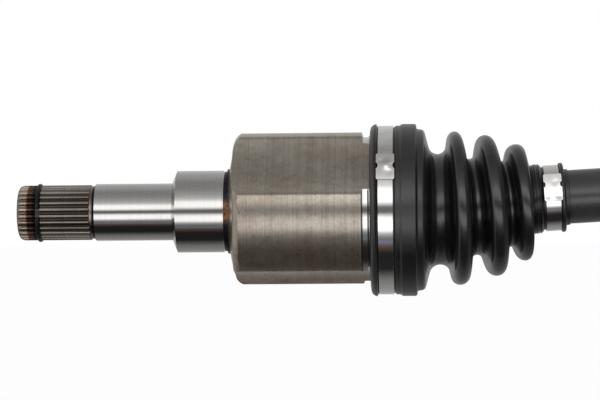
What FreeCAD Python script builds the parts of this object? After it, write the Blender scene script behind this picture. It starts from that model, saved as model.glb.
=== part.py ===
"""Drive shaft of a front-wheel-drive car, with both of its joints and boots.

From left to right along X: a splined stub that goes into the differential, a three-lobed
housing with a tripod joint that slides and swings in it, a rubber boot, a round bar, a second
boot, and a six-ball fixed joint whose bell ends in the stub for the wheel hub.
Millimetres. +X runs along the housing's axis towards the wheel, +Z is up. The origin is on
that axis in the middle of the stub's working spline. The bar leaves the housing at a small
angle, as it lies at rest.
"""
import FreeCAD, Part
import math
import os

V = FreeCAD.Vector
ORIGIN = V(0, 0, 0)
ALONG = V(1, 0, 0)

# Fits shared by the pieces
running = 0.05
slip = 0.1
boot_fit = 0.05

# Splined stub at the differential end
stub_spline_d = 27.0
stub_spline_teeth = 25
stub_spline_length = 35.6
stub_end_round = 3.2
stub_ring_at = 10.3
stub_ring_wire = 2.2
stub_ring_proud = 0.8
stub_ring_gap_angle = 22.0
neck_d = 25.8
neck_length = 1.6
neck_cone = 0.9
bearing_d = 27.9
bearing_length = 38.0
seal_d = 40.0
seal_length = 24.6
seal_lead_length = 2.0
seal_lead_drop = 5.0
relief_d = 39.0
relief_length = 2.2
collar_d = 41.5
collar_length = 1.1
tooth_height = 1.15
tooth_tip_share = 0.17
tooth_root_share = 0.31
centre_drill_d = 6.5
centre_drill_depth = 7.0

# Three-lobed housing
lobe_wall = 5.1
lobe_side_wall = 4.16
flank_wall = 8.8
lobe_edge_round = 2.5
shoulder_depth = 5.8
shoulder_face_step = 2.2
shoulder_face_drop = 6.6
shoulder_round_from = 3.0
shoulder_round_drop = 2.75
housing_body_length = 58.8
boot_seat_drop = 1.5
boot_seat_length = 20.8
seat_groove_depth = 0.9
seat_groove_length = 3.0
seat_edge = 0.8
mouth_edge = 1.0
first_lobe_angle = 101.4
joint_to_mouth = 27.9
cavity_depth = 62.5
hub_clearance = 5.0
mouth_flare = 3.5
mouth_flare_length = 12.0

# Tripod joint
roller_r = 15.0
roller_width = 11.0
roller_pitch_r = 23.0
roller_edge = 0.8
track_side_clearance = 0.8
track_floor_clearance = 1.55
trunnion_d = 16.4
needle_d = 2.5
needle_length = 9.6
needle_count = 22
spider_width = 24.0
spider_hub_r = 16.5
spider_edge = 3.0
trunnion_boss_d = 21.0
washer_d = 25.0
washer_thickness = 0.8
roller_clip_d = 19.2
roller_clip_thickness = 1.0
roller_clip_depth = 0.7
roller_clip_gap_angle = 60.0
trunnion_end = 1.0
trunnion_chamfer = 0.8

# Bar
bar_d = 26.2
bar_neck_d = 21.0
bar_spline_d = 24.0
bar_spline_teeth = 24
bar_spline_run_out = 2.0
bar_spline_spare = 10.0
bar_neck_length = 52.0
bar_taper_length = 10.0
bar_end_past_clip = 2.5
bar_end_chamfer = 1.5
joint_spacing = 330.0
rest_swing = 3.1
bar_clip_d = 28.0
bar_clip_thickness = 1.8
bar_clip_depth = 1.0
bar_clip_gap_angle = 50.0

# Fixed ball joint
ball_d = 17.462
ball_pitch_r = 30.0
ball_count = 6
track_depth_clearance = 0.06
track_side_play = 1.25
race_drop = 4.0
race_width = 22.0
race_track_angle = 60.0
cage_wall = 5.4
cage_width = 29.0
cage_web = 4.1
window_round = 3.0
window_clearance = 0.03
race_clip_wire = 2.0
race_clip_gap_angle = 40.0
race_pocket_play = 0.25
bell_track_start_angle = -75.0
bell_track_end_angle = 37.0

# Bell and its stub
bell_mouth = 18.0
bell_mouth_chamfer = 4.5
bell_edge = 1.0
bell_floor = 25.0
bell_wall = 3.2
bell_seat_length = 20.0
bell_land_height = 2.0
bell_land_length = 10.0
bell_back_length = 12.0
bell_back_drop = 6.0
bell_nose_r = 26.0
bell_nose_step = 5.0
bell_shoulder_at = 34.0
bell_nose_length = 3.0
hub_land_d = 31.0
hub_land_length = 8.0
hub_spline_d = 29.0
hub_spline_teeth = 27
hub_spline_length = 50.0
hub_relief_d = 19.0
hub_relief_length = 3.0
hub_thread_d = 22.0
hub_thread_length = 24.0
hub_end_chamfer = 2.0

# Boots and clamps
boot_wall = 2.2
adapter_wall = 1.6
clamp_band = 0.7
clamp_width = 7.3
clamp_lock_width = 8.7
clamp_lock_height = 1.2
clamp_lock_length = 13.4
clamp_notch_r = 1.4
lock_angle = 30.0
small_lock_angle = 18.0
rim_height = 0.9
rim_length = 3.9
rim_round = 1.2
inboard_cuff_length = 25.6
outboard_cuff_length = 23.0
cuff_drop = 0.2
step_length = 1.3
step_height = 0.9
edge_slope = 0.6
band_play = 0.75
small_band_from = 2.3
seat_end_gap = 0.5
lip_height = 1.35
lip_length = 3.6
bellows_steps = 3

# Inboard boot: how far each fold and valley is past the large cuff. Its radius is given
# as a share of the way from the small clamp's seat to the large clamp's seat.
inboard_folds = (
    (0.0, 0.929),
    (7.6, 0.466),
    (16.6, 0.884),
    (24.5, 0.327),
    (33.2, 0.765),
    (40.4, 0.227),
    (47.5, 0.526),
    (55.8, 0.064),
)
# Outboard boot, the same from its own large cuff
outboard_folds = (
    (0.0, 0.889),
    (9.0, 0.595),
    (18.0, 0.907),
    (26.5, 0.422),
    (35.0, 0.734),
    (42.5, 0.267),
    (50.0, 0.543),
    (57.0, 0.128),
    (63.5, 0.336),
    (70.5, 0.056),
)

# Places along the housing, from the end of the stub
bearing_from = stub_spline_length + neck_length + neck_cone
seal_from = bearing_from + bearing_length
relief_from = seal_from + seal_length
collar_from = relief_from + relief_length
shoulder_from = collar_from + collar_length
lobes_from = shoulder_from + shoulder_depth
seat_from = lobes_from + housing_body_length
mouth_at = seat_from + boot_seat_length
joint_at = mouth_at - joint_to_mouth
spline_middle = (stub_ring_at + stub_ring_wire / 2 + stub_spline_length) / 2

# Places along the bar, from the middle of the tripod joint
boot_rim_at = seat_from + seat_groove_length + 1.0
bellows_from = boot_rim_at + inboard_cuff_length
small_cuff_at = bellows_from + inboard_folds[-1][0] - joint_at
outboard_rim_at = joint_spacing - bell_mouth + bell_seat_length - seat_end_gap
outboard_bellows_at = outboard_rim_at - outboard_cuff_length
outboard_small_cuff_at = outboard_bellows_at - outboard_folds[-1][0]

# Derived sizes
ball_r = ball_d / 2
bar_r = bar_d / 2
trunnion_r = trunnion_d / 2
needle_pitch_r = trunnion_r + running + needle_d / 2
roller_bore_r = needle_pitch_r + needle_d / 2 + running
washer_from = roller_pitch_r + roller_width / 2 + slip
roller_clip_from = washer_from + washer_thickness + running
trunnion_length = roller_clip_from + roller_clip_thickness + trunnion_end
track_r = roller_r + track_side_clearance
track_floor_r = trunnion_length + track_floor_clearance
lobe_r = track_floor_r + lobe_wall
lobe_half_angle = math.degrees(math.asin((track_r + lobe_side_wall) / lobe_r))
cavity_bore_r = spider_hub_r + hub_clearance
mouth_bore_r = cavity_bore_r + mouth_flare
recess_r = cavity_bore_r + flank_wall
race_sphere_r = ball_pitch_r - race_drop
cage_inner_r = race_sphere_r + slip
cage_outer_r = cage_inner_r + cage_wall
window_length = 2 * cage_inner_r * math.sin(math.pi / ball_count) - cage_web
bell_seat_r = ball_pitch_r + ball_r + track_depth_clearance + bell_wall
bell_r = bell_seat_r + bell_land_height
boot_seat_r = lobe_r - boot_seat_drop
adapter_r = boot_seat_r + adapter_wall
boot_band_r = adapter_r + boot_wall
bell_band_r = bell_seat_r + boot_wall
bar_band_r = bar_r + boot_wall
swing_axis = V(0, -math.sin(math.radians(first_lobe_angle)), -math.cos(math.radians(first_lobe_angle)))


def at(point):
    """A place given by its distance along the axis and its radius."""
    return V(point[0], 0, point[1])


def outline(points):
    """Closed wire through the points. A pair of points is an arc through the first to the second."""
    edges = []
    here = points[0]
    for step in points[1:]:
        if isinstance(step[0], tuple):
            through, there = step
            edges.append(Part.Arc(at(here), at(through), at(there)).toShape())
        else:
            there = step
            edges.append(Part.LineSegment(at(here), at(there)).toShape())
        here = there
    if here != points[0]:
        edges.append(Part.LineSegment(at(here), at(points[0])).toShape())
    return Part.Wire(edges)


def turned(points):
    """Solid turned about the X axis from an outline of lengths and radii."""
    return Part.Face(outline(points)).revolve(ORIGIN, ALONG, 360)


def tube(inner, outer, start, end):
    """Plain ring about the X axis."""
    return turned([(start, inner), (start, outer), (end, outer), (end, inner)])


def on_circle(radius, angle):
    """A place in the YZ plane. Angle 0 is the front, 90 is the top."""
    turn = math.radians(angle)
    return V(0, -radius * math.cos(turn), radius * math.sin(turn))


def to_angle(shape, angle):
    """Turns what was made upright about X to stand at the angle."""
    turned_shape = shape.copy()
    turned_shape.rotate(ORIGIN, ALONG, 90 - angle)
    return turned_shape


def moved(shape, distance):
    """Copy moved along X."""
    copy = shape.copy()
    copy.translate(V(distance, 0, 0))
    return copy


def joined(shapes):
    """One shape from several that touch or overlap."""
    return shapes[0].multiFuse(shapes[1:]).removeSplitter()


def toothed(tip_r, root_r, teeth, start, end):
    """Straight-sided spline: a prism along X with a tooth at each step round it."""
    step = 360.0 / teeth
    edges = []
    for number in range(teeth):
        middle = 90 + number * step
        tip_from = on_circle(tip_r, middle - tooth_tip_share * step)
        tip_to = on_circle(tip_r, middle + tooth_tip_share * step)
        root_from = on_circle(root_r, middle + tooth_root_share * step)
        root_to = on_circle(root_r, middle + (1 - tooth_root_share) * step)
        next_tip = on_circle(tip_r, middle + (1 - tooth_tip_share) * step)
        edges.append(Part.Arc(tip_from, on_circle(tip_r, middle), tip_to).toShape())
        edges.append(Part.LineSegment(tip_to, root_from).toShape())
        edges.append(Part.Arc(root_from, on_circle(root_r, middle + step / 2), root_to).toShape())
        edges.append(Part.LineSegment(root_to, next_tip).toShape())
    return moved(Part.Face(Part.Wire(edges)).extrude(V(end - start, 0, 0)), start)


def opening_wedge(radius, half_angle, angle, start, end):
    """Wedge from the axis outwards, to cut a gap in a ring."""
    corners = [ORIGIN, on_circle(radius, angle - half_angle), on_circle(radius, angle + half_angle), ORIGIN]
    return moved(Part.Face(Part.makePolygon(corners)).extrude(V(end - start, 0, 0)), start)


def snap_ring(inner, outer, start, end, gap_angle, angle):
    """Flat ring with a gap, about the X axis."""
    ring = tube(inner, outer, start, end)
    return ring.cut(opening_wedge(2 * outer, gap_angle / 2, angle, start - 1, end + 1))


def round_ring(middle_r, wire, place, gap_angle, angle):
    """Ring of round wire with a gap, about the X axis."""
    face = Part.Face(Part.Wire(Part.Circle(V(place, 0, middle_r), V(0, 1, 0), wire / 2).toShape()))
    ring = face.revolve(ORIGIN, ALONG, 360 - gap_angle)
    ring.rotate(ORIGIN, ALONG, 90 - angle - gap_angle / 2)
    return ring


def centre_hole(face_at, inwards):
    """Centre drilling in the end of a shaft, with its pilot."""
    rim = centre_drill_d / 2
    cone = rim * 1.2
    pilot = rim * 0.35
    tip = centre_drill_depth
    points = [(-1, 0), (-1, rim), (0, rim), (cone, pilot), (tip, pilot), (tip + pilot, 0)]
    return turned([(face_at + inwards * x, r) for x, r in points])


def on_bar(shape):
    """Puts what was made about the tripod's middle on the bar, at the angle it rests at."""
    placed = shape.copy()
    placed.rotate(ORIGIN, swing_axis, rest_swing)
    return moved(placed, joint_at - spline_middle)


def on_housing(shape):
    """Puts what was measured from the end of the stub in the part's frame."""
    return moved(shape, -spline_middle)


def at_ball_joint(shape):
    """Puts what was made about the middle of the ball joint on the bar."""
    return on_bar(moved(shape, joint_spacing))


def lobed_prism(start, end):
    """The housing's three lobes with hollow flanks between them."""
    edges = []
    for number in range(3):
        middle = first_lobe_angle + 120 * number
        low = on_circle(lobe_r, middle - lobe_half_angle)
        high = on_circle(lobe_r, middle + lobe_half_angle)
        beyond = on_circle(lobe_r, middle + 120 - lobe_half_angle)
        edges.append(Part.Arc(low, on_circle(lobe_r, middle), high).toShape())
        edges.append(Part.Arc(high, on_circle(recess_r, middle + 60), beyond).toShape())
    prism = Part.Face(Part.Wire(edges)).extrude(V(end - start, 0, 0))
    long_edges = [edge for edge in prism.Edges if abs(edge.tangentAt(edge.FirstParameter).x) > 0.99]
    return moved(prism.makeFillet(lobe_edge_round, long_edges), start)


def stub_solid():
    """Turned part of the housing, from the end of the stub to the collar, with its spline."""
    tip_r = stub_spline_d / 2
    end_r = tip_r - stub_end_round
    blend = stub_end_round * (1 - math.sqrt(0.5))
    envelope = turned([
        (0, 0),
        (0, end_r),
        ((blend, tip_r - blend), (stub_end_round, tip_r)),
        (stub_spline_length, tip_r),
        (stub_spline_length, 0),
    ])
    spline = envelope.common(toothed(tip_r, tip_r - tooth_height, stub_spline_teeth, 0, stub_spline_length))
    neck_to = stub_spline_length + neck_length
    shaft = turned([
        (stub_spline_length, 0),
        (stub_spline_length, neck_d / 2),
        (neck_to, neck_d / 2),
        (bearing_from, bearing_d / 2),
        (seal_from, bearing_d / 2),
        (seal_from, seal_d / 2 - seal_lead_drop),
        (seal_from + seal_lead_length, seal_d / 2),
        (relief_from, seal_d / 2),
        (relief_from, relief_d / 2),
        (collar_from, relief_d / 2),
        (collar_from, collar_d / 2),
        (shoulder_from, collar_d / 2),
        (shoulder_from, 0),
    ])
    groove_half = stub_ring_wire / 2 + slip
    groove_r = tip_r + stub_ring_proud - stub_ring_wire - running
    groove = tube(groove_r, tip_r + 2, stub_ring_at - groove_half, stub_ring_at + groove_half)
    return joined([spline, shaft]).cut(groove).cut(centre_hole(0, 1))


def housing_solid():
    """Forged three-lobed housing with roller tracks, open towards the wheel."""
    envelope = turned([
        (shoulder_from, 0),
        (shoulder_from, collar_d / 2),
        (shoulder_from + shoulder_face_step, lobe_r - shoulder_face_drop),
        ((shoulder_from + shoulder_round_from, lobe_r - shoulder_round_drop), (lobes_from, lobe_r)),
        (seat_from, lobe_r),
        (seat_from + seat_edge, boot_seat_r - seat_groove_depth),
        (seat_from + seat_groove_length, boot_seat_r - seat_groove_depth),
        (seat_from + seat_groove_length + seat_edge, boot_seat_r),
        (mouth_at - mouth_edge, boot_seat_r),
        (mouth_at, boot_seat_r - mouth_edge),
        (mouth_at, 0),
    ])
    body = envelope.common(lobed_prism(shoulder_from, mouth_at))
    floor_at = mouth_at - cavity_depth
    length = cavity_depth + 1
    round_bore = Part.makeCylinder(cavity_bore_r, length, V(floor_at, 0, 0), ALONG)
    floor_limit = Part.makeCylinder(track_floor_r, length, V(floor_at, 0, 0), ALONG)
    tracks = [round_bore]
    for number in range(3):
        crown = Part.makeCylinder(track_r, length, V(floor_at, 0, roller_pitch_r), ALONG)
        walls = Part.makeBox(length, 2 * track_r, roller_pitch_r, V(floor_at, -track_r, 0))
        track = crown.fuse(walls).common(floor_limit)
        tracks.append(to_angle(track, first_lobe_angle + 120 * number))
    flare = turned([
        (mouth_at - mouth_flare_length, 0),
        (mouth_at - mouth_flare_length, cavity_bore_r),
        (mouth_at, mouth_bore_r),
        (mouth_at + 1, mouth_bore_r),
        (mouth_at + 1, 0),
    ])
    hollow = joined(tracks + [flare])
    return joined([stub_solid(), body.cut(hollow)])


def stub_ring():
    """Round-wire ring that holds the stub in the differential."""
    middle_r = stub_spline_d / 2 + stub_ring_proud - stub_ring_wire / 2
    return round_ring(middle_r, stub_ring_wire, stub_ring_at, stub_ring_gap_angle, 0)


def boot_adapter():
    """Rubber bush that makes the three lobes round, so that the boot can seal on them."""
    outside = tube(0, adapter_r, boot_rim_at, mouth_at)
    seat = Part.makeCylinder(boot_seat_r, boot_seat_length, V(seat_from, 0, 0), ALONG)
    return outside.cut(lobed_prism(seat_from, mouth_at).common(seat))


def spider():
    """Hub with three trunnions and bosses, and a splined bore for the bar."""
    half = spider_width / 2
    hub = turned([
        (-half, 0),
        (-half, spider_hub_r - spider_edge),
        (-half + spider_edge, spider_hub_r),
        (half - spider_edge, spider_hub_r),
        (half, spider_hub_r - spider_edge),
        (half, 0),
    ])
    boss_end = roller_pitch_r - roller_width / 2 - slip
    groove_r = trunnion_r - roller_clip_depth
    pieces = [hub]
    for number in range(3):
        boss = Part.makeCylinder(trunnion_boss_d / 2, boss_end)
        pin = Part.makeCylinder(trunnion_r, trunnion_length)
        tip_edges = [edge for edge in pin.Edges if edge.BoundBox.ZMin > trunnion_length / 2]
        pin = pin.makeChamfer(trunnion_chamfer, tip_edges)
        ring_at = roller_clip_from - running
        ring = Part.makeCylinder(trunnion_r + 1, roller_clip_thickness + 2 * running, V(0, 0, ring_at))
        ring = ring.cut(Part.makeCylinder(groove_r, roller_clip_thickness + 1, V(0, 0, ring_at - 0.2)))
        pieces.append(to_angle(boss.fuse(pin.cut(ring)), first_lobe_angle + 120 * number))
    bore_r = bar_spline_d / 2 + running
    bore = toothed(bore_r, bore_r - tooth_height, bar_spline_teeth, -half - 1, half + 1)
    return joined(pieces).cut(bore)


def roller():
    """Ring with a round outside that rolls along its track, upright about Z."""
    low = roller_pitch_r - roller_width / 2
    high = roller_pitch_r + roller_width / 2
    band_r = math.sqrt(roller_r ** 2 - (roller_width / 2 - roller_edge) ** 2)
    face = Part.Face(outline([
        (roller_bore_r, low),
        (band_r - roller_edge, low),
        (band_r, low + roller_edge),
        ((roller_r, roller_pitch_r), (band_r, high - roller_edge)),
        (band_r - roller_edge, high),
        (roller_bore_r, high),
    ]))
    return face.revolve(ORIGIN, V(0, 0, 1), 360)


def needles():
    """Full set of needles between a trunnion and its roller, upright about Z."""
    shapes = []
    start = roller_pitch_r - needle_length / 2
    for number in range(needle_count):
        turn = 2 * math.pi * number / needle_count
        place = V(needle_pitch_r * math.cos(turn), needle_pitch_r * math.sin(turn), start)
        shapes.append(Part.makeCylinder(needle_d / 2, needle_length, place))
    return Part.makeCompound(shapes)


def roller_washer():
    """Washer that keeps the needles in, upright about Z."""
    washer = Part.makeCylinder(washer_d / 2, washer_thickness, V(0, 0, washer_from))
    bore = Part.makeCylinder(trunnion_r + running, washer_thickness + 1, V(0, 0, washer_from - 0.5))
    return washer.cut(bore)


def roller_clip():
    """Snap ring at the end of a trunnion, upright about Z."""
    inner = trunnion_r - roller_clip_depth + running
    ring = snap_ring(inner, roller_clip_d / 2, 0, roller_clip_thickness, roller_clip_gap_angle, 90)
    ring.rotate(ORIGIN, V(0, 1, 0), -90)
    ring.translate(V(0, 0, roller_clip_from))
    return ring


def bar_clip(face_at):
    """Snap ring on the bar beside the spider."""
    inner = bar_spline_d / 2 - tooth_height - bar_clip_depth + running
    return snap_ring(inner, bar_clip_d / 2, face_at, face_at + bar_clip_thickness, bar_clip_gap_angle, 270)


def bar_solid():
    """Round bar with a splined end in each joint and a slimmer neck beside each."""
    spline_r = bar_spline_d / 2
    neck_r = bar_neck_d / 2
    half = spider_width / 2
    left_end = -half - running - bar_clip_thickness - bar_end_past_clip
    right_end = joint_spacing + race_width / 2 + race_clip_wire
    left_spline_to = half + bar_clip_thickness + bar_spline_spare
    right_spline_from = joint_spacing - race_width / 2 - bar_spline_spare
    neck_to = left_spline_to + bar_spline_run_out + bar_neck_length
    full_from = neck_to + bar_taper_length
    right_neck_from = right_spline_from - bar_spline_run_out - bar_neck_length
    shaft = turned([
        (left_spline_to, 0),
        (left_spline_to, spline_r - tooth_height),
        (left_spline_to + bar_spline_run_out, neck_r),
        (neck_to, neck_r),
        (full_from, bar_r),
        (right_neck_from - bar_taper_length, bar_r),
        (right_neck_from, neck_r),
        (right_spline_from - bar_spline_run_out, neck_r),
        (right_spline_from, spline_r - tooth_height),
        (right_spline_from, 0),
    ])
    left_envelope = turned([
        (left_end, 0),
        (left_end, spline_r - bar_end_chamfer),
        (left_end + bar_end_chamfer, spline_r),
        (left_spline_to, spline_r),
        (left_spline_to, 0),
    ])
    right_envelope = turned([
        (right_spline_from, 0),
        (right_spline_from, spline_r),
        (right_end - bar_end_chamfer, spline_r),
        (right_end, spline_r - bar_end_chamfer),
        (right_end, 0),
    ])
    root_r = spline_r - tooth_height
    left = left_envelope.common(toothed(spline_r, root_r, bar_spline_teeth, left_end, left_spline_to))
    right = right_envelope.common(toothed(spline_r, root_r, bar_spline_teeth, right_spline_from, right_end))
    groove_r = root_r - bar_clip_depth
    clip_from = -half - bar_clip_thickness - 2 * running
    left_groove = tube(groove_r, spline_r + 1, clip_from, -half)
    right_groove = tube(groove_r, spline_r + 1, half, half + bar_clip_thickness + 2 * running)
    ring_at = joint_spacing + race_width / 2 - race_clip_wire / 2
    ring_r = spline_r - race_clip_wire / 2
    ring_half = race_clip_wire / 2 + running
    ring_groove = tube(ring_r - ring_half, spline_r + 1, ring_at - ring_half, ring_at + ring_half)
    bar = joined([left, shaft, right])
    for groove in (left_groove, right_groove, ring_groove):
        bar = bar.cut(groove)
    return bar


def ball_groove(start_angle, end_angle):
    """Path of a ball that stands upright: a flat-sided round section turned about the Y axis."""
    radius = ball_r + track_depth_clearance
    side = track_side_play
    low = ball_pitch_r - radius
    high = ball_pitch_r + radius
    section = Part.Wire([
        Part.LineSegment(V(0, -side, low), V(0, side, low)).toShape(),
        Part.Arc(V(0, side, low), V(0, side + radius, ball_pitch_r), V(0, side, high)).toShape(),
        Part.LineSegment(V(0, side, high), V(0, -side, high)).toShape(),
        Part.Arc(V(0, -side, high), V(0, -side - radius, ball_pitch_r), V(0, -side, low)).toShape(),
    ])
    face = Part.Face(section)
    face.rotate(ORIGIN, V(0, 1, 0), start_angle)
    return face.revolve(ORIGIN, V(0, 1, 0), end_angle - start_angle)


def ball_angles():
    """Directions of the balls round the joint, the first at the top."""
    return [90 + 360.0 / ball_count * number for number in range(ball_count)]


def inner_race():
    """Ball race on the end of the bar, round outside with a groove for each ball."""
    half = race_width / 2
    edge_r = math.sqrt(race_sphere_r ** 2 - half ** 2)
    race = turned([(-half, 0), (-half, edge_r), ((0, race_sphere_r), (half, edge_r)), (half, 0)])
    for angle in ball_angles():
        race = race.cut(to_angle(ball_groove(-race_track_angle, race_track_angle), angle))
    tip = bar_spline_d / 2
    bore_r = tip + running
    race = race.cut(toothed(bore_r, bore_r - tooth_height, bar_spline_teeth, -half - 1, half + 1))
    pocket_r = tip + race_pocket_play
    return race.cut(tube(0, pocket_r, half - race_clip_wire - running, half + 1))


def race_clip():
    """Round-wire ring that holds the race on the bar."""
    place = race_width / 2 - race_clip_wire / 2
    return round_ring(bar_spline_d / 2 - race_clip_wire / 2, race_clip_wire, place, race_clip_gap_angle, 270)


def cage():
    """Ring, round inside and outside, with a window for each ball."""
    half = cage_width / 2
    outer_edge = math.sqrt(cage_outer_r ** 2 - half ** 2)
    inner_edge = math.sqrt(cage_inner_r ** 2 - half ** 2)
    ring = turned([
        (-half, inner_edge),
        (-half, outer_edge),
        ((0, cage_outer_r), (half, outer_edge)),
        (half, inner_edge),
        ((0, cage_inner_r), (-half, inner_edge)),
    ])
    height = ball_d + 2 * window_clearance
    corner = V(-height / 2, -window_length / 2, cage_inner_r / 2)
    window = Part.makeBox(height, window_length, cage_outer_r, corner)
    upright = [edge for edge in window.Edges if abs(edge.tangentAt(edge.FirstParameter).z) > 0.99]
    window = window.makeFillet(window_round, upright)
    for angle in ball_angles():
        ring = ring.cut(to_angle(window, angle))
    return ring


def ball(angle):
    """One ball in its place."""
    return Part.makeSphere(ball_r, on_circle(ball_pitch_r, angle))


def bell():
    """Bell round the ball joint, with the stub that goes through the wheel hub."""
    bore_r = cage_outer_r + slip
    land_from = -bell_mouth + bell_seat_length
    land_to = land_from + bell_land_height + bell_land_length
    nose_from = bell_shoulder_at - bell_nose_length
    back_middle = (land_to + bell_back_length, bell_r - bell_back_drop)
    back_end = (nose_from - bell_edge, bell_nose_r + bell_nose_step)
    spline_from = bell_shoulder_at + hub_land_length
    spline_to = spline_from + hub_spline_length
    thread_from = spline_to + hub_relief_length
    thread_to = thread_from + hub_thread_length
    outside = turned([
        (-bell_mouth, 0),
        (-bell_mouth, bell_seat_r - bell_edge),
        (-bell_mouth + bell_edge, bell_seat_r),
        (land_from, bell_seat_r),
        (land_from + bell_land_height, bell_r),
        (land_to, bell_r),
        (back_middle, back_end),
        (nose_from, bell_nose_r),
        (bell_shoulder_at, bell_nose_r),
        (bell_shoulder_at, hub_land_d / 2),
        (spline_from, hub_land_d / 2),
        (spline_from, 0),
    ])
    tip = hub_spline_d / 2
    envelope = turned([
        (spline_from, 0),
        (spline_from, tip),
        (spline_to - 1.5, tip),
        (spline_to, tip - 1.5),
        (spline_to, 0),
    ])
    spline = envelope.common(toothed(tip, tip - tooth_height, hub_spline_teeth, spline_from, spline_to))
    end = turned([
        (spline_to, 0),
        (spline_to, hub_relief_d / 2),
        (thread_from, hub_relief_d / 2),
        (thread_from + 1.0, hub_thread_d / 2),
        (thread_to - hub_end_chamfer, hub_thread_d / 2),
        (thread_to, hub_thread_d / 2 - hub_end_chamfer),
        (thread_to, 0),
    ])
    chamfer_at = -bell_mouth + bell_mouth_chamfer
    chamfer_r = math.sqrt(bore_r ** 2 - chamfer_at ** 2)
    hollow = Part.makeSphere(bore_r).common(tube(0, bore_r + 1, -bell_mouth, bell_floor))
    flare = turned([
        (chamfer_at, 0),
        (chamfer_at, chamfer_r),
        (-bell_mouth - 1, chamfer_r + bell_mouth_chamfer + 1),
        (-bell_mouth - 1, 0),
    ])
    shell = outside.cut(hollow).cut(flare)
    for angle in ball_angles():
        shell = shell.cut(to_angle(ball_groove(bell_track_start_angle, bell_track_end_angle), angle))
    return joined([shell, spline, end]).cut(centre_hole(thread_to, -1))


def bend(distance):
    """Where the boot's middle line is, and how it leans, that far along from the stub's end."""
    lean = math.radians(rest_swing)
    start = bellows_from
    finish = small_cuff_at + joint_at
    if distance <= start:
        return V(distance, 0, 0), 0.0
    if distance >= finish - 1.0:
        reach = distance - joint_at
        return V(joint_at + reach * math.cos(lean), 0, reach * math.sin(lean)), lean
    share = (distance - start) / (finish - start)
    rise = (finish - joint_at) * math.sin(lean) * 0.95
    slope = 1.6 * rise * share ** 0.6 / (finish - start)
    return V(distance, 0, rise * share ** 1.6), math.atan(slope)


def straight(distance):
    """Middle line of a boot that isn't bent."""
    return V(distance, 0, 0), 0.0


def hoop(path, distance, radius):
    """Circle square to the boot's middle line."""
    middle, lean = path(distance)
    normal = V(math.cos(lean), 0, math.sin(lean))
    return Part.Wire(Part.Circle(middle, normal, radius).toShape())


def wave(folds, start, direction, inset, steps):
    """Points down the folds of a boot, each flank a half wave between its two ends."""
    points = []
    for (near, near_r), (far, far_r) in zip(folds, folds[1:]):
        for number in range(steps):
            share = number / steps
            swing = (1 - math.cos(math.pi * share)) / 2
            place = start + direction * (near + (far - near) * share)
            points.append((place, near_r + (far_r - near_r) * swing - inset))
    return points


def boot_solid(path, folds, rim_at, cuff, seat_r, direction):
    """Rubber boot: large cuff with a seat for its clamp, folds, and small cuff on the bar."""
    band_r = seat_r + boot_wall
    folds = [(place, bar_band_r + share * (band_r - bar_band_r)) for place, share in folds]
    rim_r = band_r + rim_height + clamp_band
    band_to = rim_length + clamp_width + 2 * band_play
    cuff_r = rim_r - cuff_drop
    lip_from = small_band_from + clamp_width + 2 * band_play
    lip_to = lip_from + lip_length
    lip_r = bar_band_r + lip_height
    large = [
        (0, rim_r - rim_round),
        (rim_round, rim_r),
        (rim_length - edge_slope, rim_r),
        (rim_length, band_r),
        (band_to, band_r),
        (band_to + edge_slope, cuff_r),
        (cuff - 2 * step_length, cuff_r),
        (cuff - step_length, folds[0][1] + step_height),
    ]
    small = [
        (0, folds[-1][1]),
        (small_band_from - edge_slope, bar_band_r + edge_slope),
        (small_band_from, bar_band_r),
        (lip_from, bar_band_r),
        (lip_from + edge_slope, lip_r),
        (lip_to - edge_slope, lip_r),
        (lip_to, lip_r - edge_slope),
    ]
    bellows_at = rim_at + direction * cuff
    small_at = bellows_at + direction * folds[-1][0]
    outer = [(rim_at + direction * place, radius) for place, radius in large]
    outer += wave(folds, bellows_at, direction, 0, bellows_steps)
    outer += [(small_at + direction * place, radius) for place, radius in small]
    cuff_bore = seat_r + boot_fit
    bar_bore = bar_r + boot_fit
    inner = [(rim_at - direction, cuff_bore), (bellows_at - direction * 2 * boot_wall, cuff_bore)]
    inner += wave(folds, bellows_at, direction, boot_wall, 2)
    inner += [(small_at + direction * boot_wall, bar_bore), (small_at + direction * (lip_to + 1), bar_bore)]
    outside = Part.makeLoft([hoop(path, place, radius) for place, radius in outer], True, True)
    inside = Part.makeLoft([hoop(path, place, radius) for place, radius in inner], True, True)
    return outside.cut(inside)


def clamp(band_r, place, lock_at):
    """Steel band round a cuff, with a low lock plate where its ends join."""
    inner = band_r + boot_fit
    outer = inner + clamp_band
    band = tube(inner, outer, place, place + clamp_width)
    middle = place + clamp_width / 2
    half_width = clamp_lock_width / 2
    top = outer + clamp_lock_height
    half_angle = math.degrees(clamp_lock_length / 2 / outer)
    sector = opening_wedge(2 * top, half_angle, lock_at, middle - half_width, middle + half_width)
    plate = tube(outer, top, middle - half_width, middle + half_width).common(sector)
    spot = on_circle(inner, lock_at)
    away = on_circle(1, lock_at)
    for side in (-1, 1):
        foot = V(middle + side * half_width, spot.y, spot.z)
        plate = plate.cut(Part.makeCylinder(clamp_notch_r, 3 * clamp_lock_height + 2, foot, away))
    return joined([band, plate])


def save(name, shape):
    """Writes one piece."""
    shape.exportStep("parts/%s.step" % name)


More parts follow.
